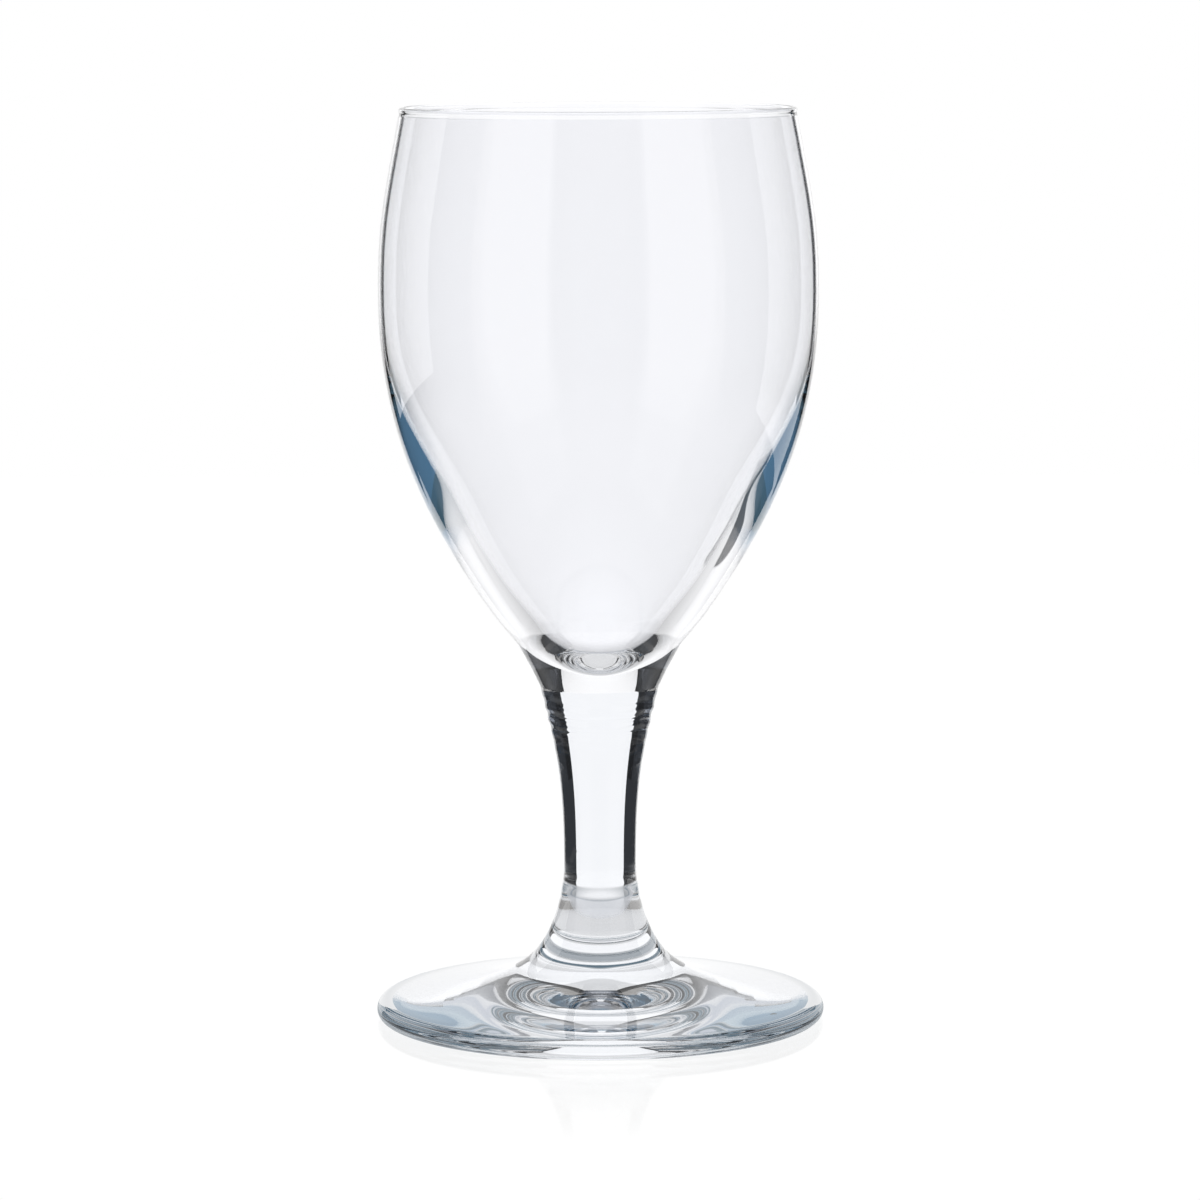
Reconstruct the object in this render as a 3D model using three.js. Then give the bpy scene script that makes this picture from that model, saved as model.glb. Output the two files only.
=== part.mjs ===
// A stemmed water goblet of clear glass: a blown bowl, a drawn stem and a pressed foot, fused end to end.
// Millimetres, +Z up. The origin is the middle of the flat ring that the foot stands on.
import * as THREE from 'three';

// Heights of the three pieces, stacked from the table up
const footHeight = 21.6;
const stemLength = 33.6;
const bowlHeight = 94.8;

// The two fused joints: a flat face of this radius on both pieces
const footWeldRadius = 6.2;
const bowlWeldRadius = 9.8;

// Bowl, outside: heights are taken from the bowl's own weld, and a lean is in degrees from upright
const bowlBaseLean = 25;
const kneeHeight = 7;
const kneeRadius = 13.45;
const kneeLeanBelow = 29.5;
const kneeLeanAbove = 39;
const kneeRounding = 0.5;
const coneHeight = 12.8;
const coneRadius = 18.1;
const coneLean = 35;
const bellyHeight = 64.3;
const bellyRadius = 35.95;
const rimRadius = 32.3;
const rimLean = 10.8;

// Bowl, inside: a thin wall above a heavy base, and a fire-polished bead round the rim
const bowlWall = 0.85;
const beadOverhang = 0.1;
const heavyBaseHeight = 34.2;
const heavyBaseWall = 3.2;
const heavyBaseLean = 30;
const floorThickness = 3.9;

// Stem: its narrowest place, above the foot's weld, and its lean at each end
const waistHeight = 4.75;
const waistRadius = 5.95;
const stemBottomLean = 6;
const stemTopLean = 14;

// Foot: a disc with a rounded edge, drawn up into the stem, and hollowed underneath inside its standing ring
const footRadius = 37;
const edgeThickness = 3.3;
const edgeMiddle = 1.4;
const edgeReachAbove = 1.7;
const edgeReachBelow = 1.2;
const footTopSlope = 7.4;
const neckLean = 12;
const standingRingWidth = 1.7;
const hollowDepth = 3.2;

// How far an outline keeps its heading past a station, as a share of the distance to the next one
const evenPull = 0.37;
const rimPull = 0.51;
const heavyBasePullBelow = 0.4;
const floorPull = 0.18;
const waistPull = 0.47;
const footTopPull = 0.6;
const neckPull = 0.43;
const hollowMiddlePull = 0.1;
const hollowRingPull = 0.21;

// Fineness of the turned surfaces
const sidesAround = 48;
const sidesOfBead = 8;
const stepLength = 4.2;
const fewestSteps = 4;

// Headings along an outline, in degrees from outwards towards up
const OUT = 0;
const UP = 90;
const IN = 180;
const DOWN = 270;

// A place on an outline and the heading of the outline there
function station(radius, height, heading) {
  const turn = THREE.MathUtils.degToRad(heading);
  return {
    point: new THREE.Vector2(radius, height),
    along: new THREE.Vector2(Math.cos(turn), Math.sin(turn)),
  };
}

// A station moved along its own heading
function moved(from, distance) {
  return { point: from.point.clone().addScaledVector(from.along, distance), along: from.along };
}

// Points on the smooth curve from one station to the next
function bend(from, to, pullFrom = evenPull, pullTo = evenPull) {
  const span = from.point.distanceTo(to.point);
  const leaving = from.point.clone().addScaledVector(from.along, span * pullFrom);
  const arriving = to.point.clone().addScaledVector(to.along, -span * pullTo);
  const curve = new THREE.CubicBezierCurve(from.point, leaving, arriving, to.point);
  const steps = Math.max(fewestSteps, Math.round(curve.getLength() / stepLength));
  return curve.getSpacedPoints(steps);
}

// One outline from several stretches, without the point that two neighbours share
function joined(...stretches) {
  return stretches.flatMap((points, index) => (index === 0 ? points : points.slice(1)));
}

// Radius of an outline that climbs, at a given height
function radiusAt(points, height) {
  const above = points.findIndex((point) => point.y >= height);
  const low = points[above - 1];
  const high = points[above];
  return THREE.MathUtils.mapLinear(height, low.y, high.y, low.x, high.x);
}

// A solid turned about the vertical axis, with its own foot at the given height
function turned(name, outline, height, color) {
  const geometry = new THREE.LatheGeometry(outline, sidesAround);
  geometry.rotateX(Math.PI / 2);
  const glass = new THREE.MeshStandardMaterial({
    color,
    roughness: 0.02,
    metalness: 0,
    transparent: true,
    opacity: 0.35,
  });
  const mesh = new THREE.Mesh(geometry, glass);
  mesh.name = name;
  mesh.position.z = height;
  return mesh;
}

// Foot, from the middle of its hollow round the edge and up the neck to the weld
function footOutline() {
  const ringOuter = footRadius - edgeReachBelow;
  const ringInner = ringOuter - standingRingWidth;
  const hollowMiddle = station(0, hollowDepth, OUT);
  const hollowEdge = station(ringInner, 0, OUT);
  const ringEdge = station(ringOuter, 0, OUT);
  const widest = station(footRadius, edgeMiddle, UP);
  const topEdge = station(footRadius - edgeReachAbove, edgeThickness, IN - footTopSlope);
  const neck = station(footWeldRadius, footHeight, UP + neckLean);
  return [
    ...bend(hollowMiddle, hollowEdge, hollowMiddlePull, hollowRingPull),
    ...joined(
      bend(ringEdge, widest),
      bend(widest, topEdge),
      bend(topEdge, neck, footTopPull, neckPull),
    ),
    new THREE.Vector2(0, footHeight),
  ];
}

// Stem, narrowing from the foot to its waist and swelling to the bowl
function stemOutline() {
  const bottom = station(footWeldRadius, 0, UP + stemBottomLean);
  const waist = station(waistRadius, waistHeight, UP);
  const top = station(bowlWeldRadius, stemLength, UP - stemTopLean);
  return [
    new THREE.Vector2(0, 0),
    ...joined(bend(bottom, waist), bend(waist, top, waistPull)),
    new THREE.Vector2(0, stemLength),
  ];
}

// Bead that closes the rim, from the outer wall over the top to the inner wall
function beadArc() {
  const beadRadius = bowlWall / 2 + beadOverhang;
  const seat = Math.acos(bowlWall / 2 / beadRadius);
  const bead = new THREE.EllipseCurve(
    rimRadius - bowlWall / 2,
    bowlHeight - beadRadius,
    beadRadius,
    beadRadius,
    -seat,
    Math.PI + seat,
  );
  return bead.getSpacedPoints(sidesOfBead);
}

// Bowl, up the outside from the weld, over the bead and down the inside to the floor
function bowlOutline() {
  const bead = beadArc();
  const rimHeight = bead[0].y;
  const weld = station(bowlWeldRadius, 0, UP - bowlBaseLean);
  const kneeStart = moved(station(kneeRadius, kneeHeight, UP - kneeLeanBelow), -kneeRounding);
  const kneeEnd = moved(station(kneeRadius, kneeHeight, UP - kneeLeanAbove), kneeRounding);
  const cone = station(coneRadius, coneHeight, UP - coneLean);
  const belly = station(bellyRadius, bellyHeight, UP);
  const rim = station(rimRadius, rimHeight, UP + rimLean);
  const outside = joined(
    bend(weld, kneeStart),
    bend(kneeStart, kneeEnd),
    bend(kneeEnd, cone),
    bend(cone, belly),
    bend(belly, rim, evenPull, rimPull),
  );
  const boreAtHeavyBase = radiusAt(outside, heavyBaseHeight) - heavyBaseWall;
  const rimInside = station(rimRadius - bowlWall, rimHeight, DOWN + rimLean);
  const bellyInside = station(bellyRadius - bowlWall, bellyHeight, DOWN);
  const heavyBase = station(boreAtHeavyBase, heavyBaseHeight, DOWN - heavyBaseLean);
  const floor = station(0, floorThickness, IN);
  const inside = joined(
    bend(rimInside, bellyInside, rimPull, evenPull),
    bend(bellyInside, heavyBase),
    bend(heavyBase, floor, heavyBasePullBelow, floorPull),
  );
  return [new THREE.Vector2(0, 0), ...joined(outside, bead, inside)];
}

const goblet = new THREE.Group();
goblet.add(turned('foot', footOutline(), 0, 0xdfe8ec));
goblet.add(turned('stem', stemOutline(), footHeight, 0xeaf0f2));
goblet.add(turned('bowl', bowlOutline(), footHeight + stemLength, 0xf2f4f8));

export default goblet;
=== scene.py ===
# %% [markdown]
# # A water goblet of clear glass
# The goblet is three gobs of glass fused end to end: a blown bowl, a drawn stem and a pressed foot.
# Clear glass has hardly any colour of its own. What the eye sees is the studio, bent by the walls, so this
# lesson spends its care on two things: very smooth turned shapes, and a studio made for glass.

# %% Load the frame
import math

import bpy
import numpy as np
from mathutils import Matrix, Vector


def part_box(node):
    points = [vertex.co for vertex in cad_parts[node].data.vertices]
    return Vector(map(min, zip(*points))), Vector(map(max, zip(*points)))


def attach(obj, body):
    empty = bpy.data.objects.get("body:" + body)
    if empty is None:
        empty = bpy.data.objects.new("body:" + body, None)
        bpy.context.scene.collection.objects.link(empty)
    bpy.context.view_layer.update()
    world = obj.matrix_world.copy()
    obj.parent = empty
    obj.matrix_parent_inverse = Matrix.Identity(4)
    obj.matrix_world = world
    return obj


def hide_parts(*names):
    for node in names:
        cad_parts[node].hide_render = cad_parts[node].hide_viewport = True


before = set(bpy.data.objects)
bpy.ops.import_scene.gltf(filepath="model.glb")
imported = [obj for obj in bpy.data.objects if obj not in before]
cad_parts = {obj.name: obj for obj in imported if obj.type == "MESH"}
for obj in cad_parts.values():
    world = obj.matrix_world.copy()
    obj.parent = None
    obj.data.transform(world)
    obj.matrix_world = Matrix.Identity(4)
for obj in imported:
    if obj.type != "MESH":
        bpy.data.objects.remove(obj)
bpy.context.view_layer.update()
scene = bpy.context.scene
print("nodes:", sorted(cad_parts))

# %% [markdown]
# ## The camera
# The photograph was taken with a long lens from a little above the rim, so the rim is a thin ellipse and
# the foot a wider one. Two ellipses of known size fix the distance, the height and the tilt of the camera.

# %% Place the camera
CAMERA_ASIDE = 0.0004
CAMERA_DISTANCE = 0.815
CAMERA_HEIGHT = 0.1708
CAMERA_PITCH = math.radians(7.10)
CAMERA_ROLL = math.radians(0.16)
LENS_MM = 149.9
SENSOR_MM = 36

camera_data = bpy.data.cameras.new("camera")
camera_data.lens = LENS_MM
camera_data.sensor_width = SENSOR_MM
camera = bpy.data.objects.new("camera", camera_data)
camera.location = (CAMERA_ASIDE, -CAMERA_DISTANCE, CAMERA_HEIGHT)
camera.rotation_euler = (math.pi / 2 - CAMERA_PITCH, CAMERA_ROLL, 0)
scene.collection.objects.link(camera)
scene.camera = camera
print("camera at", tuple(round(v, 4) for v in camera.location))

# %% [markdown]
# ## Outlines from the frame
# Each piece is a solid of revolution, so half a cross section says everything about it. The frame's solids
# hold that outline already: their vertices over the X axis lie on it. We walk along those vertices and get
# the outline in order, so the pieces made here sit exactly where the solids are.

# %% Trace a node's outline
ON_PLANE = 2e-6
KEY_DIGITS = 6


def traced_outline(node):
    """Points (radius, height) of a node's outline, from its lower point on the axis to its upper one."""
    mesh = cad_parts[node].data
    places = np.array([vertex.co for vertex in mesh.vertices])
    over_x = (np.abs(places[:, 1]) < ON_PLANE) & (places[:, 0] > -ON_PLANE)
    keys = [tuple(np.round(place[[0, 2]], KEY_DIGITS)) for place in places]
    neighbours = {}
    for start, end in (edge.vertices for edge in mesh.edges):
        if over_x[start] and over_x[end] and keys[start] != keys[end]:
            neighbours.setdefault(keys[start], set()).add(keys[end])
            neighbours.setdefault(keys[end], set()).add(keys[start])
    here = min((key for key in neighbours if key[0] == 0), key=lambda key: key[1])
    walked = [here]
    while True:
        onward = [key for key in neighbours[here] if key not in walked]
        if not onward:
            return np.array(walked)
        here = onward[0]
        walked.append(here)


outlines = {node: traced_outline(node) for node in ("foot", "stem", "bowl")}
for node, outline in outlines.items():
    print(node, len(outline), "points, widest", round(outline[:, 0].max() * 1000, 2), "mm")

# %% [markdown]
# ## Smooth stretches
# Glass shows every facet, because each one bends light its own way. So the outline is cut at its corners and
# each stretch between them becomes a cubic spline, whose slope and curvature both run on without a break.
# A corner is a sharp turn, an end of a flat face, or a place where long steps give way to short ones, as
# at the rim's bead. A stretch that reaches the axis is level there, or the turned piece would have a point.

# %% Find the corners of an outline
SHARP_TURN = math.radians(45)
STEP_CHANGE = 4
FLAT = 1e-7


def corners(points):
    """Indices of the outline's corners with both its ends, and those where a stretch runs level."""
    steps = np.diff(points, axis=0)
    lengths = np.hypot(*steps.T)
    headings = np.arctan2(steps[:, 1], steps[:, 0])
    sharp = np.abs((np.diff(headings) + math.pi) % (2 * math.pi) - math.pi) > SHARP_TURN
    ratios = lengths[1:] / lengths[:-1]
    uneven = np.maximum(ratios, 1 / ratios) > STEP_CHANGE
    flat = np.abs(steps[:, 1]) < FLAT
    flat_ends = flat[1:] != flat[:-1]
    inner = np.flatnonzero(sharp | uneven | flat_ends) + 1
    level = {0, len(points) - 1, *(np.flatnonzero(flat_ends & ~sharp) + 1)}
    return [0, *inner, len(points) - 1], level


for node, outline in outlines.items():
    print(node, "has", len(corners(outline)[0]) - 1, "stretches")

# %% [markdown]
# A cubic spline comes from one small set of equations. Each inner row says that the slope runs on through a
# point, the first and last rows set the slopes at the ends, and the answer is the curvature at every point.

# %% Turn an outline into smooth stretches
FEWEST_STEPS = 24


def spline(points, spacing, level_start, level_end):
    """Places along the cubic spline through the points, about one spacing apart."""
    if len(points) == 2:
        return points
    at = np.concatenate([[0], np.cumsum(np.hypot(*np.diff(points, axis=0).T))])
    gaps = np.diff(at)
    chords = np.diff(points, axis=0) / gaps[:, None]
    first, last = np.gradient(points, at, axis=0, edge_order=2)[[0, -1]]
    if level_start:
        first = np.array([np.sign(first[0]), 0])
    if level_end:
        last = np.array([np.sign(last[0]), 0])
    count = len(points)
    matrix = np.zeros((count, count))
    bends = np.zeros((count, 2))
    matrix[0, :2] = 2 * gaps[0], gaps[0]
    bends[0] = 6 * (chords[0] - first)
    matrix[-1, -2:] = gaps[-1], 2 * gaps[-1]
    bends[-1] = 6 * (last - chords[-1])
    for row in range(1, count - 1):
        matrix[row, row - 1 : row + 2] = gaps[row - 1], 2 * (gaps[row - 1] + gaps[row]), gaps[row]
        bends[row] = 6 * (chords[row] - chords[row - 1])
    curvature = np.linalg.solve(matrix, bends)
    where = np.linspace(0, at[-1], max(FEWEST_STEPS, math.ceil(at[-1] / spacing)) + 1)
    span = np.clip(np.searchsorted(at, where) - 1, 0, count - 2)
    width = gaps[span][:, None]
    left = (where - at[span])[:, None]
    right = width - left
    return (
        (curvature[span] * right**3 + curvature[span + 1] * left**3) / (6 * width)
        + (points[span] / width - curvature[span] * width / 6) * right
        + (points[span + 1] / width - curvature[span + 1] * width / 6) * left
    )


def smooth_outline(points, spacing):
    """The whole outline with every stretch between two corners made smooth, within its own heights."""
    cuts, level = corners(points)
    stretches = [
        spline(points[start : end + 1], spacing, start in level, end in level)
        for start, end in zip(cuts, cuts[1:])
    ]
    smooth = np.vstack([stretches[0]] + [stretch[1:] for stretch in stretches[1:]])
    smooth[:, 1] = np.clip(smooth[:, 1], points[:, 1].min(), points[:, 1].max())
    return smooth


# Distance between two points along each piece's outline, in metres
SPACING = {"foot": 0.00035, "stem": 0.00025, "bowl": 0.00086}
smoothed = {node: smooth_outline(outline, SPACING[node]) for node, outline in outlines.items()}
for node, outline in smoothed.items():
    print(node, "smoothed to", len(outline), "points")

# %% [markdown]
# ## A lathe in Geometry Nodes
# A turned shape follows a rule: the same outline at every angle. Curve to Mesh does that, with a tiny
# circle as its path and the outline as its profile. The points on the axis come out once for every side,
# so Merge by Distance closes the poles. The tree also lays a ridge round the lower weld and ripples under
# the upper one, because they belong to more than one piece and have to meet across the joints.


# %% Helpers that build node trees
def place(tree, kind, inputs=None, **settings):
    """A new node with its settings, and with its inputs set to values or linked to other sockets."""
    made = tree.nodes.new(kind)
    for name, value in settings.items():
        setattr(made, name, value)
    for name, value in (inputs or {}).items():
        if isinstance(value, bpy.types.NodeSocket):
            tree.links.new(value, made.inputs[name])
        else:
            made.inputs[name].default_value = value
    return made


def sums(tree, operation, *terms):
    """The output of a Math node for one, two or three terms."""
    return place(tree, "ShaderNodeMath", dict(enumerate(terms)), operation=operation).outputs[0]


print("helpers:", place.__name__, "and", sums.__name__)

# %% Shape the ridge and the ripples of the welds
RIPPLE_DRIFT = 9.0
RIPPLE_DRIFT_SCALE = 90.0
AXIS_GUARD = 1e-6


def hump(tree, height, centre, reach):
    """A bell curve over height, 1 at its centre."""
    away = sums(tree, "DIVIDE", sums(tree, "SUBTRACT", height, centre), reach)
    return sums(tree, "EXPONENT", sums(tree, "MULTIPLY", sums(tree, "MULTIPLY", away, away), -1.0))


def weld_ridge(tree, given, height):
    """How far the ridge round the lower weld stands proud."""
    bell = hump(tree, height, given["Lower Weld"], given["Ridge Width"])
    return sums(tree, "MULTIPLY", bell, given["Ridge Height"])


def weld_ripple(tree, given, position, height):
    """How far the ripples under the upper weld stand proud. A slow noise keeps them uneven."""
    where = {"Vector": position, "W": given["Seed"], "Scale": RIPPLE_DRIFT_SCALE}
    noise = place(tree, "ShaderNodeTexNoise", where, noise_dimensions="4D")
    drift = sums(tree, "MULTIPLY", noise.outputs[0], RIPPLE_DRIFT)
    middle = sums(tree, "SUBTRACT", given["Upper Weld"], given["Ripple Drop"])
    away = sums(tree, "SUBTRACT", height, middle)
    phase = sums(tree, "MULTIPLY", sums(tree, "DIVIDE", away, given["Ripple Length"]), 2 * math.pi)
    wave = sums(tree, "SINE", sums(tree, "ADD", phase, drift))
    fading = hump(tree, height, middle, given["Ripple Reach"])
    return sums(tree, "MULTIPLY", sums(tree, "MULTIPLY", wave, fading), given["Ripple Height"])


def outwards(tree, axes, distance):
    """An offset straight away from the goblet's axis."""
    flat = place(tree, "ShaderNodeCombineXYZ", {"X": axes["X"], "Y": axes["Y"], "Z": 0.0}).outputs[0]
    radius = place(tree, "ShaderNodeVectorMath", {0: flat}, operation="LENGTH").outputs["Value"]
    share = sums(tree, "DIVIDE", distance, sums(tree, "MAXIMUM", radius, AXIS_GUARD))
    return place(tree, "ShaderNodeVectorMath", {0: flat, "Scale": share}, operation="SCALE").outputs[0]


print("ripples drift by up to", round(RIPPLE_DRIFT / (2 * math.pi), 2), "of their length")

# %% Build the lathe tree
PATH_RADIUS = 1e-7
MERGE_DISTANCE = 1e-6
CREASE_ANGLE = math.radians(40)
SEAM_REACH = 2e-5

LATHE_INPUTS = {
    "Sides": ("NodeSocketInt", 320),
    "Lower Weld": ("NodeSocketFloat", 0.0),
    "Upper Weld": ("NodeSocketFloat", 0.0),
    "Ridge Height": ("NodeSocketFloat", 0.00013),
    "Ridge Width": ("NodeSocketFloat", 0.0009),
    "Ripple Height": ("NodeSocketFloat", 0.0001),
    "Ripple Length": ("NodeSocketFloat", 0.0024),
    "Ripple Drop": ("NodeSocketFloat", 0.0048),
    "Ripple Reach": ("NodeSocketFloat", 0.0032),
    "Seed": ("NodeSocketFloat", 3.0),
    "Glass": ("NodeSocketMaterial", None),
    "Seam": ("NodeSocketMaterial", None),
}


def lathe_tree():
    """The tree that turns an outline curve into a closed glass piece."""
    tree = bpy.data.node_groups.new("turned_glass", "GeometryNodeTree")
    tree.interface.new_socket("Outline", in_out="INPUT", socket_type="NodeSocketGeometry")
    for name, (kind, value) in LATHE_INPUTS.items():
        socket = tree.interface.new_socket(name, in_out="INPUT", socket_type=kind)
        if value is not None:
            socket.default_value = value
    tree.interface.new_socket("Piece", in_out="OUTPUT", socket_type="NodeSocketGeometry")
    given = tree.nodes.new("NodeGroupInput").outputs

    ring = {"Resolution": given["Sides"], "Radius": PATH_RADIUS}
    path = place(tree, "GeometryNodeCurvePrimitiveCircle", ring)
    sweep = {"Curve": path.outputs["Curve"], "Profile Curve": given["Outline"]}
    turned = place(tree, "GeometryNodeCurveToMesh", sweep)
    merging = {"Geometry": turned.outputs[0], "Distance": MERGE_DISTANCE}
    closed = place(tree, "GeometryNodeMergeByDistance", merging)

    position = tree.nodes.new("GeometryNodeInputPosition").outputs[0]
    axes = place(tree, "ShaderNodeSeparateXYZ", {0: position}).outputs
    ridge = weld_ridge(tree, given, axes["Z"])
    ripple = weld_ripple(tree, given, position, axes["Z"])
    offset = outwards(tree, axes, sums(tree, "ADD", ridge, ripple))
    rippled = place(tree, "GeometryNodeSetPosition", {"Geometry": closed.outputs[0], "Offset": offset})

    soft = place(tree, "GeometryNodeSetShadeSmooth", {"Geometry": rippled.outputs[0]}, domain="FACE")
    angle = tree.nodes.new("GeometryNodeInputMeshEdgeAngle").outputs["Unsigned Angle"]
    crease = sums(tree, "GREATER_THAN", angle, CREASE_ANGLE)
    creasing = {"Geometry": soft.outputs[0], "Selection": crease, "Shade Smooth": False}
    shaded = place(tree, "GeometryNodeSetShadeSmooth", creasing, domain="EDGE")
    real = place(tree, "GeometryNodeRealizeInstances", {"Geometry": shaded.outputs[0]})
    glazing = {"Geometry": real.outputs[0], "Material": given["Glass"]}
    glassy = place(tree, "GeometryNodeSetMaterial", glazing)
    at_seam = 0.0
    for weld in ("Lower Weld", "Upper Weld"):
        near = sums(tree, "COMPARE", axes["Z"], given[weld], SEAM_REACH)
        at_seam = sums(tree, "MAXIMUM", at_seam, near)
    fusing = {"Geometry": glassy.outputs[0], "Selection": at_seam, "Material": given["Seam"]}
    done = place(tree, "GeometryNodeSetMaterial", fusing)
    place(tree, "NodeGroupOutput", {"Piece": done.outputs[0]})
    return tree


lathe = lathe_tree()
print("lathe tree with", len(lathe.nodes), "nodes")

# %% [markdown]
# ## Clear glass
# The glass is a plain Principled shader that lets all light through, with the index of soda-lime glass.
# Two small effects keep it from looking like a computer's perfect crystal: a very slight waviness from
# blowing and drawing, and a trace of haze in the polish. Both are shared by the three pieces, so they are
# one node group each.

# %% Build the shared effects
WAVES = {"Scale": 40.0, "Stretch": 0.4}
WAVE_DETAIL = 1.0
POLISHED = {"Polish": 0.0, "Haze": 0.01, "Scale": 60.0}
HAZE_DETAIL = 4.0
HAZE_PATCHES = {1: 0.5, 2: 0.75}


def effect_group(name, inputs, outputs):
    """A shader node group with named sockets, and its input sockets inside."""
    group = bpy.data.node_groups.new(name, "ShaderNodeTree")
    for label, value in inputs.items():
        socket = group.interface.new_socket(label, in_out="INPUT", socket_type="NodeSocketFloat")
        socket.default_value = value
    for label in outputs:
        group.interface.new_socket(label, in_out="OUTPUT", socket_type="NodeSocketFloat")
    return group, group.nodes.new("NodeGroupInput").outputs


def waviness_group():
    """Height of the slow waves that blowing and drawing leave in a glass surface."""
    group, given = effect_group("glass_waviness", WAVES, ["Height"])
    place_on = group.nodes.new("ShaderNodeTexCoord").outputs["Object"]
    stretch = place(group, "ShaderNodeCombineXYZ", {"X": 1.0, "Y": 1.0, "Z": given["Stretch"]}).outputs[0]
    drawn = place(group, "ShaderNodeVectorMath", {0: place_on, 1: stretch}, operation="MULTIPLY").outputs[0]
    noise = {"Vector": drawn, "Scale": given["Scale"], "Detail": WAVE_DETAIL}
    waves = place(group, "ShaderNodeTexNoise", noise)
    place(group, "NodeGroupOutput", {"Height": waves.outputs[0]})
    return group


def haze_group():
    """Roughness of a polished surface with a trace of haze in soft patches."""
    group, given = effect_group("glass_haze", POLISHED, ["Roughness"])
    place_on = group.nodes.new("ShaderNodeTexCoord").outputs["Object"]
    noise = {"Vector": place_on, "Scale": given["Scale"], "Detail": HAZE_DETAIL}
    patches = place(group, "ShaderNodeTexNoise", noise)
    mask = place(group, "ShaderNodeMapRange", {0: patches.outputs[0], **HAZE_PATCHES}).outputs[0]
    hazy = sums(group, "MULTIPLY_ADD", mask, given["Haze"], given["Polish"])
    place(group, "NodeGroupOutput", {"Roughness": hazy})
    return group


waviness = waviness_group()
haze = haze_group()
print("effects:", waviness.name, haze.name)

# %% [markdown]
# The bowl is a little clearer than the stem and the foot, which are drawn and pressed from thicker glass.
# Where two pieces are fused there is no surface left, so the faces inside a weld get a material that
# shows nothing.

# %% Make the glass materials
GLASS_INDEX = 1.52
WAVE_STRENGTH = 0.3
WAVE_HEIGHT = 0.0002
BOWL_TINT = (0.977, 0.981, 1.0)
BOWL_WAVE_SCALE = 25.0
DRAWN_TINT = (0.91, 0.925, 0.955)
DRAWN_WAVE_SCALE = 40.0


def clear_glass(name, tint, wave_scale):
    """Clear glass with a faint tint, slow waves and a trace of haze."""
    material = bpy.data.materials.new(name)
    material.use_nodes = True
    tree = material.node_tree
    shader = tree.nodes["Principled BSDF"]
    shader.inputs["Base Color"].default_value = (*tint, 1)
    shader.inputs["IOR"].default_value = GLASS_INDEX
    shader.inputs["Transmission Weight"].default_value = 1
    waves = place(tree, "ShaderNodeGroup", node_tree=waviness)
    waves.inputs["Scale"].default_value = wave_scale
    relief = {"Height": waves.outputs["Height"], "Strength": WAVE_STRENGTH, "Distance": WAVE_HEIGHT}
    bump = place(tree, "ShaderNodeBump", relief)
    tree.links.new(bump.outputs["Normal"], shader.inputs["Normal"])
    polish = place(tree, "ShaderNodeGroup", node_tree=haze)
    tree.links.new(polish.outputs["Roughness"], shader.inputs["Roughness"])
    return material


def fused_seam():
    """The face inside a weld. Fused glass has no surface there, so it shows nothing."""
    material = bpy.data.materials.new("fused_seam")
    material.use_nodes = True
    material.node_tree.nodes["Principled BSDF"].inputs["Alpha"].default_value = 0
    return material


glass = {
    "bowl": clear_glass("bowl_glass", BOWL_TINT, BOWL_WAVE_SCALE),
    "stem": clear_glass("stem_glass", DRAWN_TINT, DRAWN_WAVE_SCALE),
    "foot": clear_glass("foot_glass", DRAWN_TINT, DRAWN_WAVE_SCALE),
}
seam = fused_seam()
print("glass:", [material.name for material in glass.values()], "and", seam.name)

# %% [markdown]
# ## Turning the pieces
# Foot, stem and bowl all come off the same lathe. Where two pieces meet, each stops a hair short, so that
# no two faces share one place.

# %% Draw a piece's outline as a curve
HAIR = 5e-6
LOWER_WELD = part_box("stem")[0].z
UPPER_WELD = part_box("stem")[1].z


def outline_curve(name, node):
    """A curve object along a node's smooth outline, with its weld faces drawn back by a hair."""
    outline = smoothed[node].copy()
    for weld in (LOWER_WELD, UPPER_WELD):
        upwards = 1 if outline[:, 1].max() > weld + HAIR else -1
        on_weld = np.abs(outline[:, 1] - weld) < HAIR
        outline[on_weld, 1] = weld + upwards * HAIR
    curve = bpy.data.curves.new(name + "_outline", "CURVE")
    curve.dimensions = "3D"
    line = curve.splines.new("POLY")
    line.points.add(len(outline) - 1)
    for point, (radius, height) in zip(line.points, outline[::-1]):
        point.co = (radius, -height, 0, 1)
    drawn = bpy.data.objects.new(name + "_outline", curve)
    scene.collection.objects.link(drawn)
    return drawn


print("welds at", round(LOWER_WELD * 1000, 2), "and", round(UPPER_WELD * 1000, 2), "mm")


# %% Turn foot, stem and bowl
def turned_piece(name, node):
    """A closed piece turned from a node's outline, as a plain mesh that stands for that node."""
    tool = outline_curve(name, node)
    modifier = tool.modifiers.new("lathe", "NODES")
    modifier.node_group = lathe
    settings = {"Lower Weld": LOWER_WELD, "Upper Weld": UPPER_WELD, "Glass": glass[node], "Seam": seam}
    for item in lathe.interface.items_tree:
        if item.name in settings:
            modifier[item.identifier] = settings[item.name]
    evaluated = tool.evaluated_get(bpy.context.evaluated_depsgraph_get())
    mesh = bpy.data.meshes.new_from_object(evaluated)
    mesh.name = name
    bpy.data.objects.remove(tool)
    piece = bpy.data.objects.new(name, mesh)
    scene.collection.objects.link(piece)
    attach(piece, "root")
    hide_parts(node)
    triangles = sum(len(polygon.vertices) - 2 for polygon in mesh.polygons)
    print(name, triangles, "triangles,", [material.name for material in mesh.materials])


turned_piece("goblet_foot", "foot")
turned_piece("goblet_stem", "stem")
turned_piece("goblet_bowl", "bowl")

# %% [markdown]
# ## A studio for glass
# Glass is lit by what stands behind it. A white backdrop shines through the bowl and the stem. It ends a
# short way to either side, so every wall that bends light further than that shows the dark room, and this
# draws the dark bands of the stem. Two soft boxes in front give the pale upright bands on the bowl. All
# of it hangs on one empty that turns with the camera, as if the goblet stood on a turntable before a fixed
# set.

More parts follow.
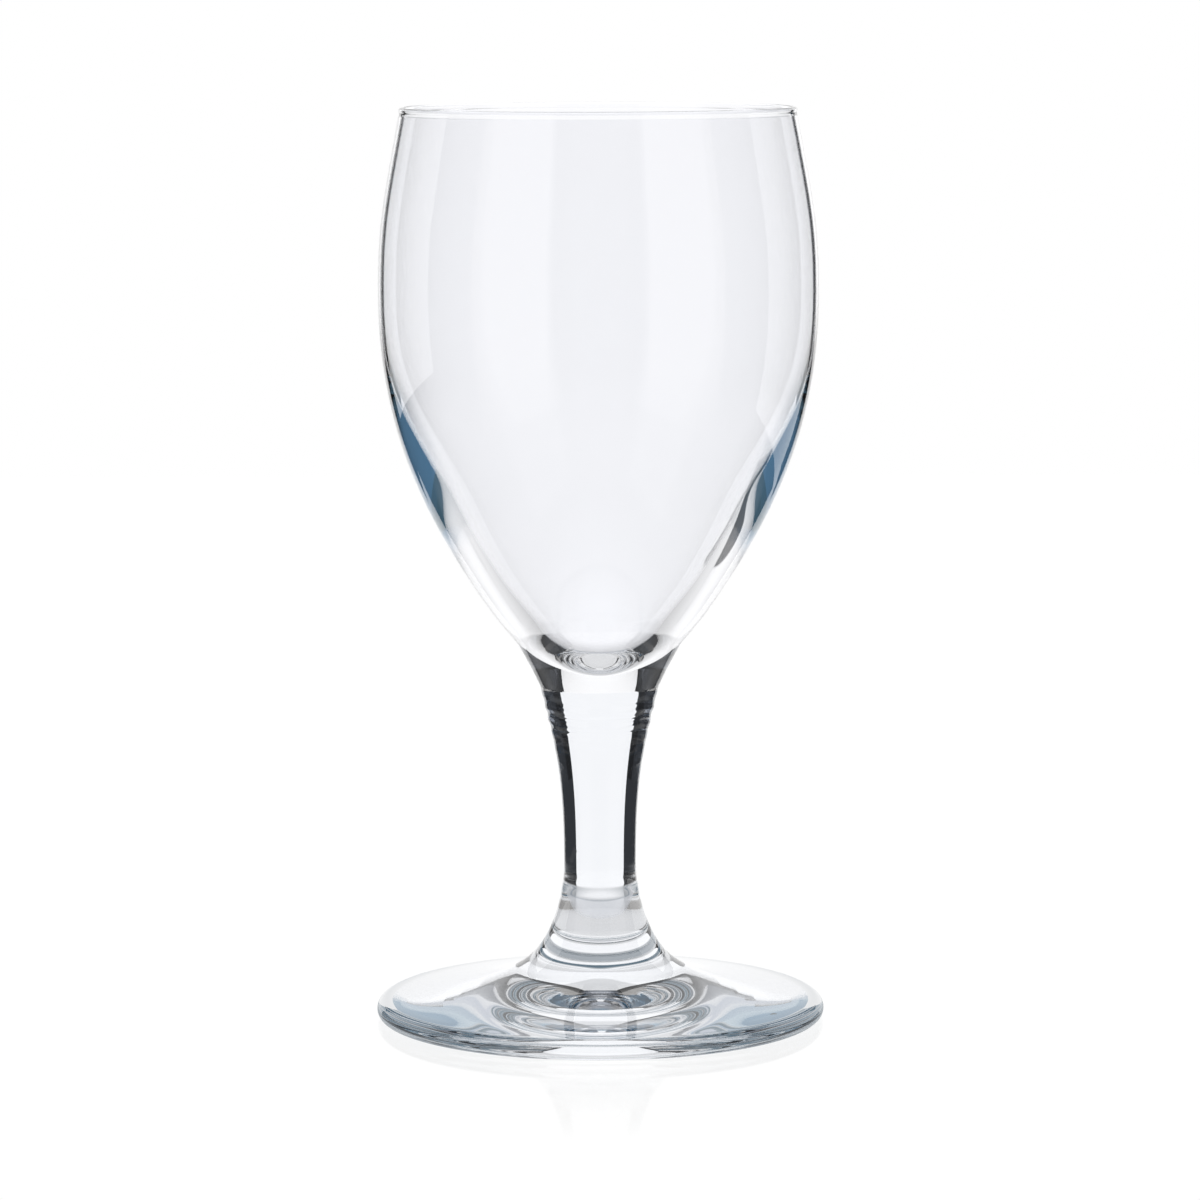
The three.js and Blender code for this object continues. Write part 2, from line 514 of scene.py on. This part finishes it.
# %% Hang the studio on an empty that turns with the camera
studio = bpy.data.objects.new("studio", None)
scene.collection.objects.link(studio)
follow = studio.constraints.new("COPY_ROTATION")
follow.target = camera
follow.use_x = False
follow.use_y = False
print("studio turns with", follow.target.name)

# %% [markdown]
# Glass keeps a little red from all light that passes, too little to see in a thin wall. Light that is
# trapped in the heavy base goes a long way before it gets out, and it comes out blue. The number of bends
# that a ray has made says how long its way was, so each lamp fades with that number, its red first.

# %% Fade a lamp's colour with the way through the glass
LONG_WAY_TINT = (0.17, 0.35, 0.50)
FADING_BENDS = (13, 18)


def by_bends(tree, bends, values):
    """A value that runs from the first to the second as a ray makes more bends."""
    depth = tree.nodes.new("ShaderNodeLightPath").outputs["Ray Depth"]
    span = {1: bends[0], 2: bends[1], 3: values[0], 4: values[1]}
    return place(tree, "ShaderNodeMapRange", {0: depth, **span}).outputs[0]


def faded(tree, colour):
    """A lamp's colour as it is left after many bends."""
    way = by_bends(tree, FADING_BENDS, (0.0, 1.0))
    parts = {}
    for channel, keep in enumerate(LONG_WAY_TINT):
        parts[channel] = sums(tree, "MULTIPLY", sums(tree, "POWER", keep, way), colour[channel])
    return place(tree, "ShaderNodeCombineColor", parts).outputs[0]


print("lamps fade to", LONG_WAY_TINT, "between", FADING_BENDS, "bends")

# %% [markdown]
# Every lamp and card here is a plain rectangle with a glow, hidden from the camera. Some are meant for one
# kind of reflection only, as a photographer angles a card until it shows in one place. The number of bends
# tells these apart, and to all other rays such a card is clear.

# %% Make lamps and cards
MANY_BENDS = 99


def bare_material(name):
    """A material with no shader yet, whose surface lights nothing by itself, and its tree and output."""
    material = bpy.data.materials.new(name)
    material.use_nodes = True
    material.cycles.emission_sampling = "NONE"
    tree = material.node_tree
    tree.nodes.remove(tree.nodes["Principled BSDF"])
    return material, tree, tree.nodes["Material Output"].inputs["Surface"]


def glow(name, colour, strength, bends=None):
    """A lamp surface, which can be made to show only to rays with a number of bends in a given range."""
    material, tree, surface = bare_material(name)
    glowing = {"Color": faded(tree, colour), "Strength": strength}
    light = place(tree, "ShaderNodeEmission", glowing).outputs[0]
    if bends:
        fewest, most = bends
        depth = tree.nodes.new("ShaderNodeLightPath").outputs["Ray Depth"]
        enough = sums(tree, "GREATER_THAN", depth, fewest - 0.5)
        within = sums(tree, "MULTIPLY", enough, sums(tree, "LESS_THAN", depth, most + 0.5))
        clear = tree.nodes.new("ShaderNodeBsdfTransparent").outputs[0]
        light = place(tree, "ShaderNodeMixShader", {0: within, 1: clear, 2: light}).outputs[0]
    tree.links.new(light, surface)
    return material


def card(name, corners_of, material):
    """A flat card of the studio, seen only in the glass."""
    mesh = bpy.data.meshes.new(name)
    mesh.from_pydata(corners_of, [], [(0, 1, 2, 3)])
    mesh.materials.append(material)
    made = bpy.data.objects.new(name, mesh)
    scene.collection.objects.link(made)
    made.parent = studio
    made.visible_camera = False
    made.visible_diffuse = False
    made.visible_shadow = False
    print("card", made.name)


def upright(name, start, end, bottom, top, material):
    """An upright card over the line from start to end on the floor."""
    (x0, y0), (x1, y1) = start, end
    card(name, [(x0, y0, bottom), (x1, y1, bottom), (x1, y1, top), (x0, y0, top)], material)


def upright_pair(name, start, end, bottoms, top, material):
    """Upright cards to the left and right of the goblet, each with a bottom of its own."""
    for side, bottom in zip((-1, 1), bottoms):
        upright(name, (side * start[0], start[1]), (side * end[0], end[1]), bottom, top, material)


print("card makers:", card.__name__, upright.__name__, upright_pair.__name__)

# %% Set up backdrop and soft boxes
WHITE = (1.0, 1.0, 1.0)
BACKDROP_AWAY = 0.9
BACKDROP_HALF = BACKDROP_AWAY * math.tan(math.radians(31))
BACKDROP_TOP = 0.95
BACKDROP_LEVEL = 1.085
UPPER_WALL_TOP = 2.0
UPPER_WALL_LEVEL = 0.8
SOFT_BOX_BACK = (0.93, -0.37)
SOFT_BOX_FRONT = (0.44, -0.90)
SOFT_BOX_TOP = 0.9
SOFT_BOX_COLOUR = (1.0, 0.97, 0.93)
SOFT_BOX_LEVEL = 0.36

backdrop_ends = (-BACKDROP_HALF, BACKDROP_AWAY), (BACKDROP_HALF, BACKDROP_AWAY)
backdrop_light = glow("backdrop_light", WHITE, BACKDROP_LEVEL)
upright("backdrop", *backdrop_ends, 0.0, BACKDROP_TOP, backdrop_light)
upper_wall_light = glow("upper_wall_light", WHITE, UPPER_WALL_LEVEL)
upright("upper_wall", *backdrop_ends, BACKDROP_TOP, UPPER_WALL_TOP, upper_wall_light)
soft_light = glow("soft_light", SOFT_BOX_COLOUR, SOFT_BOX_LEVEL)
upright_pair("soft_box", SOFT_BOX_BACK, SOFT_BOX_FRONT, (0.0, 0.0), SOFT_BOX_TOP, soft_light)

# %% [markdown]
# A small dark card, which photographers call a flag, lies on the floor behind the goblet and to its right.
# The heavy wall of the bowl bends it into the single dark streak low on the right.

# %% Lay the flag
CARD_COLOUR = (0.9, 0.93, 1.0)
FLAG_LEVEL = 0.06
FLAG_BENDS = (3, MANY_BENDS)
FLAG_NEAR = 0.096
FLAG_FAR = 0.148
FLAG_LEFT = 0.0807
FLAG_RIGHT = 0.103
FLAG_LIFT = 0.0004

flag_corners = [
    (FLAG_LEFT, FLAG_NEAR, FLAG_LIFT),
    (FLAG_RIGHT, FLAG_NEAR, FLAG_LIFT),
    (FLAG_RIGHT, FLAG_FAR, FLAG_LIFT),
    (FLAG_LEFT, FLAG_FAR, FLAG_LIFT),
]
card("flag", flag_corners, glow("flag_card", CARD_COLOUR, FLAG_LEVEL, FLAG_BENDS))

# %% [markdown]
# Clear glass before a white wall would lose its edge. Two dark cards hang to the left and right behind the
# goblet, and the wall of the bowl bends them into the thin dark line that draws it. They hang clear of the
# floor, so that light on its way to the stem passes below them and the stem's dark bands stay narrow.

# %% Hang the dark cards
EDGE_CARD_INNER = (0.091, 0.15)
EDGE_CARD_OUTER = (0.125, 0.15)
EDGE_CARD_BOTTOM = 0.040
EDGE_CARD_TOP = 0.168
EDGE_CARD_LEVEL = 0.02
EDGE_CARD_BENDS = (1, MANY_BENDS)

dark_card = glow("dark_card", CARD_COLOUR, EDGE_CARD_LEVEL, EDGE_CARD_BENDS)
edge_card_bottoms = EDGE_CARD_BOTTOM, EDGE_CARD_BOTTOM
upright_pair("edge_card", EDGE_CARD_INNER, EDGE_CARD_OUTER, edge_card_bottoms, EDGE_CARD_TOP, dark_card)

# %% [markdown]
# Towards its sides the bowl mirrors more of the room and lets less of the backdrop through. Two white
# panels close to it, left and right, give back what is lost, so its wall stays pale almost to the edge. The
# left one ends higher up, which leaves the left side of the heavy base a deep blue.

# %% Stand the side panels
PANEL_BACK = (0.155, 0.26)
PANEL_FRONT = (0.30, 0.02)
PANEL_BOTTOMS = (0.042, 0.0)
PANEL_TOP = 0.24
PANEL_LEVEL = 1.1
PANEL_BENDS = (1, 1)

panel_light = glow("panel_light", WHITE, PANEL_LEVEL, PANEL_BENDS)
upright_pair("side_panel", PANEL_BACK, PANEL_FRONT, PANEL_BOTTOMS, PANEL_TOP, panel_light)

# %% [markdown]
# ## The floor
# To the camera the floor is plain white, with a faint mirror image of the goblet close to its foot. Seen
# through the glass, its painted light runs from dim in front to bright at the back, near the backdrop, and
# it mirrors the studio where light skims over it. Under the foot it is dimmed by a painted shadow, and a
# blue-grey ring of painted shade round the foot gives the thick edge the colour that a long way through
# glass would give it.

# %% Lay the floor
FLOOR_HALF = 3.0

floor_mesh = bpy.data.meshes.new("floor")
floor_corners = [
    (-FLOOR_HALF, -FLOOR_HALF, 0),
    (FLOOR_HALF, -FLOOR_HALF, 0),
    (FLOOR_HALF, BACKDROP_AWAY, 0),
    (-FLOOR_HALF, BACKDROP_AWAY, 0),
]
floor_mesh.from_pydata(floor_corners, [], [(0, 1, 2, 3)])
floor = bpy.data.objects.new("floor", floor_mesh)
scene.collection.objects.link(floor)
floor.parent = studio
print("floor from", floor_corners[0], "to", floor_corners[2])

# %% Finish the floor for the camera
FLOOR_LEVEL = 1.01
FLOOR_SHINE = {1: 0.060, 2: 0.092, 3: 0.13, 4: 0.0}
SHINE_NARROWS = (1.7, 1, 1)
SHINE_ROUGHNESS = 0.06


def distance_from_goblet(tree, spot):
    """How far a spot on the floor lies from the middle of the goblet."""
    return place(tree, "ShaderNodeVectorMath", {0: spot}, operation="LENGTH").outputs["Value"]


def floor_to_camera(tree, spot):
    """White with a faint shine, which fades away from the goblet and sooner to its sides."""
    seen = place(tree, "ShaderNodeEmission", {"Color": (*WHITE, 1), "Strength": FLOOR_LEVEL}).outputs[0]
    polish = {"Color": (*WHITE, 1), "Roughness": SHINE_ROUGHNESS}
    shine = place(tree, "ShaderNodeBsdfGlossy", polish).outputs[0]
    aside = place(tree, "ShaderNodeVectorMath", {0: spot, 1: SHINE_NARROWS}, operation="MULTIPLY").outputs[0]
    away = distance_from_goblet(tree, aside)
    shining = place(tree, "ShaderNodeMapRange", {0: away, **FLOOR_SHINE}).outputs[0]
    return place(tree, "ShaderNodeMixShader", {0: shining, 1: seen, 2: shine}).outputs[0]


print("floor shines to", FLOOR_SHINE[2], "m from the goblet's middle")

# %% Finish the floor for the glass
# Painted light: seen in the glass, the floor runs from dim in front to bright at the back, near the
# backdrop.
FRONT_TO_BACK = {1: -0.05, 2: 0.19, 3: 0.2, 4: 1.35}
# Under the foot the floor is dimmed to this level, a painted shadow of the foot.
FOOT_SHADE = 0.8
FOOT_SHADE_REACH = {1: 0.040, 2: 0.050}
# Painted shade: a blue-grey ring on the floor round the foot's edge, seen through the thick edge of the
# foot.
EDGE_SHADE = (0.15, 0.225, 0.28, 1)
EDGE_SHADE_FROM = {1: 0.0335, 2: 0.0358}
EDGE_SHADE_TO = {1: 0.043, 2: 0.050}
EDGE_SHADE_BENDS = (3, 6)
EDGE_SHADE_SHARES = (0.3, 1.0)
SKIMMING = {1: 0.45, 2: 0.62}


def floor_to_glass(tree, spot):
    """Lit from the back, with a shaded ring at the foot's edge, and a mirror where light skims over it."""
    depth = place(tree, "ShaderNodeSeparateXYZ", {0: spot}).outputs["Y"]
    level = place(tree, "ShaderNodeMapRange", {0: depth, **FRONT_TO_BACK}).outputs[0]
    away = distance_from_goblet(tree, spot)
    beyond = place(tree, "ShaderNodeMapRange", {0: away, **FOOT_SHADE_REACH}).outputs[0]
    strength = place(tree, "ShaderNodeMix", {0: beyond, 2: FOOT_SHADE, 3: level}).outputs[0]
    past = place(tree, "ShaderNodeMapRange", {0: away, **EDGE_SHADE_FROM}).outputs[0]
    clear = place(tree, "ShaderNodeMapRange", {0: away, **EDGE_SHADE_TO}).outputs[0]
    ring = sums(tree, "SUBTRACT", past, clear)
    edge = sums(tree, "MULTIPLY", ring, by_bends(tree, EDGE_SHADE_BENDS, EDGE_SHADE_SHARES))
    tone = place(tree, "ShaderNodeMixRGB", {0: edge, 1: faded(tree, WHITE), 2: EDGE_SHADE}).outputs[0]
    lit = place(tree, "ShaderNodeEmission", {"Color": tone, "Strength": strength}).outputs[0]
    mirror = place(tree, "ShaderNodeBsdfGlossy", {"Color": (*WHITE, 1), "Roughness": 0.0}).outputs[0]
    facing = tree.nodes.new("ShaderNodeLayerWeight").outputs["Facing"]
    skimming = place(tree, "ShaderNodeMapRange", {0: facing, **SKIMMING}).outputs[0]
    share = sums(tree, "MULTIPLY", skimming, beyond)
    return place(tree, "ShaderNodeMixShader", {0: share, 1: lit, 2: mirror}).outputs[0]


print("floor runs from", FRONT_TO_BACK[3], "in front to", FRONT_TO_BACK[4], "at the back")


# %% Give the floor both finishes
def pale_floor():
    """The floor's material: one finish for the camera and one for the glass."""
    material, tree, surface = bare_material("pale_floor")
    spot = tree.nodes.new("ShaderNodeTexCoord").outputs["Object"]
    path = tree.nodes.new("ShaderNodeLightPath").outputs["Is Camera Ray"]
    finishes = {0: path, 1: floor_to_glass(tree, spot), 2: floor_to_camera(tree, spot)}
    tree.links.new(place(tree, "ShaderNodeMixShader", finishes).outputs[0], surface)
    return material


floor_mesh.materials.append(pale_floor())
print("floor finish:", floor_mesh.materials[0].name)

# %% [markdown]
# ## The room
# Round the lamps the room is dark, and darker still higher up. The dark bands of the stem are this room.
# Light that is trapped in the heavy base leaves it in every direction and finds paler walls, so the walls
# brighten with the number of bends. A grey ceiling closes the room. To the camera the background is plain
# white.

# %% Darken the room
ROOM_COLOUR = (0.83, 0.89, 1.0)
ROOM_LEVEL = 0.042
UPPER_ROOM_LEVEL = 0.012
UPPER_ROOM = {1: 0.2, 2: 0.4, 3: ROOM_LEVEL, 4: UPPER_ROOM_LEVEL}
TRAPPED_LEVEL = 0.6
TRAPPING_BENDS = (9, 12)
WALLS = {1: 0.60, 2: 0.75, 3: 1.0, 4: 0.0}
CEILING = {1: 0.88, 2: 0.94}
CEILING_LEVEL = 0.38


def room():
    """White to the camera. To the glass, dark walls that trapped light finds paler, and a grey ceiling."""
    world = bpy.data.worlds.new("room")
    world.use_nodes = True
    tree = world.node_tree
    backing = place(tree, "ShaderNodeBackground", {"Color": (*WHITE, 1), "Strength": 1.0}).outputs[0]
    towards = tree.nodes.new("ShaderNodeTexCoord").outputs["Generated"]
    height = place(tree, "ShaderNodeSeparateXYZ", {0: towards}).outputs["Z"]
    on_wall = place(tree, "ShaderNodeMapRange", {0: height, **WALLS}).outputs[0]
    trapped = sums(tree, "MULTIPLY", by_bends(tree, TRAPPING_BENDS, (0.0, 1.0)), on_wall)
    dark = place(tree, "ShaderNodeMapRange", {0: height, **UPPER_ROOM}).outputs[0]
    wall = place(tree, "ShaderNodeMapRange", {0: trapped, 3: dark, 4: TRAPPED_LEVEL}).outputs[0]
    overhead = place(tree, "ShaderNodeMapRange", {0: height, **CEILING}).outputs[0]
    level = place(tree, "ShaderNodeMix", {0: overhead, 2: wall, 3: CEILING_LEVEL}).outputs[0]
    dusk = {"Color": faded(tree, ROOM_COLOUR), "Strength": level}
    dim = place(tree, "ShaderNodeBackground", dusk).outputs[0]
    path = tree.nodes.new("ShaderNodeLightPath").outputs["Is Camera Ray"]
    both = place(tree, "ShaderNodeMixShader", {0: path, 1: dim, 2: backing}).outputs[0]
    tree.links.new(both, tree.nodes["World Output"].inputs["Surface"])
    return world


scene.world = room()
print("world:", scene.world.name, "with", len(scene.world.node_tree.nodes), "nodes")

# %% [markdown]
# The light in the blue parts of the bowl bends about twenty times before it gets out. Blender gives up much
# sooner unless it is told to follow light further, and then such places come out black.

# %% Follow light through many bends
FOLLOWED_BENDS = 40

scene.view_settings.view_transform = "Standard"
for kind in ("max_bounces", "glossy_bounces", "transmission_bounces", "transparent_max_bounces"):
    setattr(scene.cycles, kind, FOLLOWED_BENDS)
print("light is followed through", scene.cycles.max_bounces, "bends")
